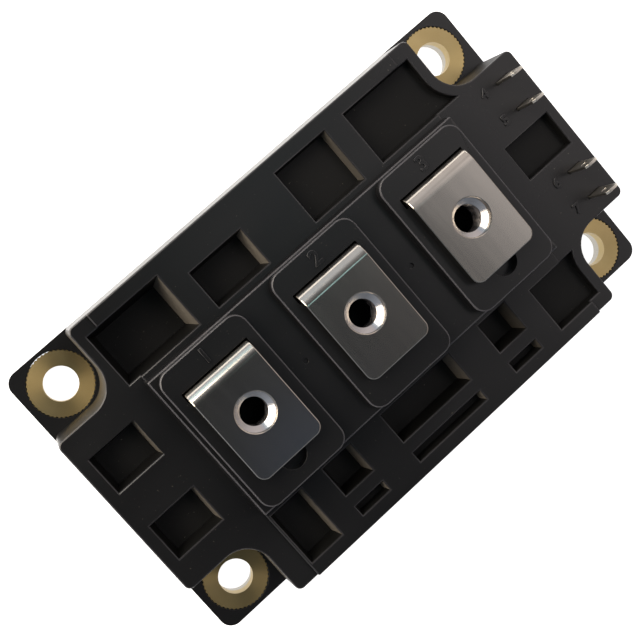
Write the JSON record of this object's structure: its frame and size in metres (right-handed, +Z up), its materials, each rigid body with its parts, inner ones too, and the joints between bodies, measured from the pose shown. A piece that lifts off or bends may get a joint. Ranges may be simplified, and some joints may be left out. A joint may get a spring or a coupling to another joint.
{
  "type": "insulated gate bipolar transistor power module",
  "caption": "Flat rectangular power semiconductor module with a bolt-down metal base, raised screw terminals in a row and thin signal blades at one end.",
  "frame": {"origin": "centre of the base plate's underside, in the plane of the heat sink", "axes": "+X along the length towards the signal blades, +Y across the module towards the folds of the screw terminals, +Z up from the heat sink"},
  "size_m": [0.108, 0.062, 0.03],
  "materials": {
    "case_plastic": "black glass-filled moulding, satin gloss",
    "plate_nickel": "nickel-plated copper, fine satin",
    "bushing_brass": "turned and knurled brass, bare",
    "terminal_nickel": "nickel-plated copper strip, satin",
    "nut_zinc": "zinc-plated steel, bright",
    "blade_tin": "tin-plated copper alloy, matte",
    "copper": "bare copper: foil bonded to ceramic, and pressed strip",
    "substrate_ceramic": "fired alumina, matte white",
    "solder": "reflowed solder, dull grey",
    "silicon": "polished silicon with aluminium metallisation",
    "bond_aluminium": "drawn wire, bright",
    "gel": "clear soft silicone gel"
  },
  "bodies": {
    "root": {"case": "case_plastic", "base_plate": "plate_nickel", "jumper_wires": "bond_aluminium", "bond_wires_left": "bond_aluminium", "bond_wires_right": "bond_aluminium", "plate_solder_left": "solder", "plate_solder_right": "solder", "igbt_solder": "solder", "diode_solder": "solder", "back_copper_left": "copper", "back_copper_right": "copper", "copper_tracks_left": "copper", "copper_tracks_right": "copper", "ceramic_left": "substrate_ceramic", "ceramic_right": "substrate_ceramic", "igbt_chips": "silicon", "diode_chips": "silicon", "silicone_gel": "gel", "bushing_1": "bushing_brass", "signal_blade_1": "blade_tin", "signal_lead_1": "copper", "bushing_2": "bushing_brass", "signal_blade_2": "blade_tin", "signal_lead_2": "copper", "bushing_3": "bushing_brass", "signal_blade_3": "blade_tin", "signal_lead_3": "copper", "bushing_4": "bushing_brass", "signal_blade_4": "blade_tin", "signal_lead_4": "copper", "screw_terminal_1": "terminal_nickel", "terminal_nut_1": "nut_zinc", "screw_terminal_2": "terminal_nickel", "terminal_nut_2": "nut_zinc", "screw_terminal_3": "terminal_nickel", "terminal_nut_3": "nut_zinc"}
  },
  "joints": []
}
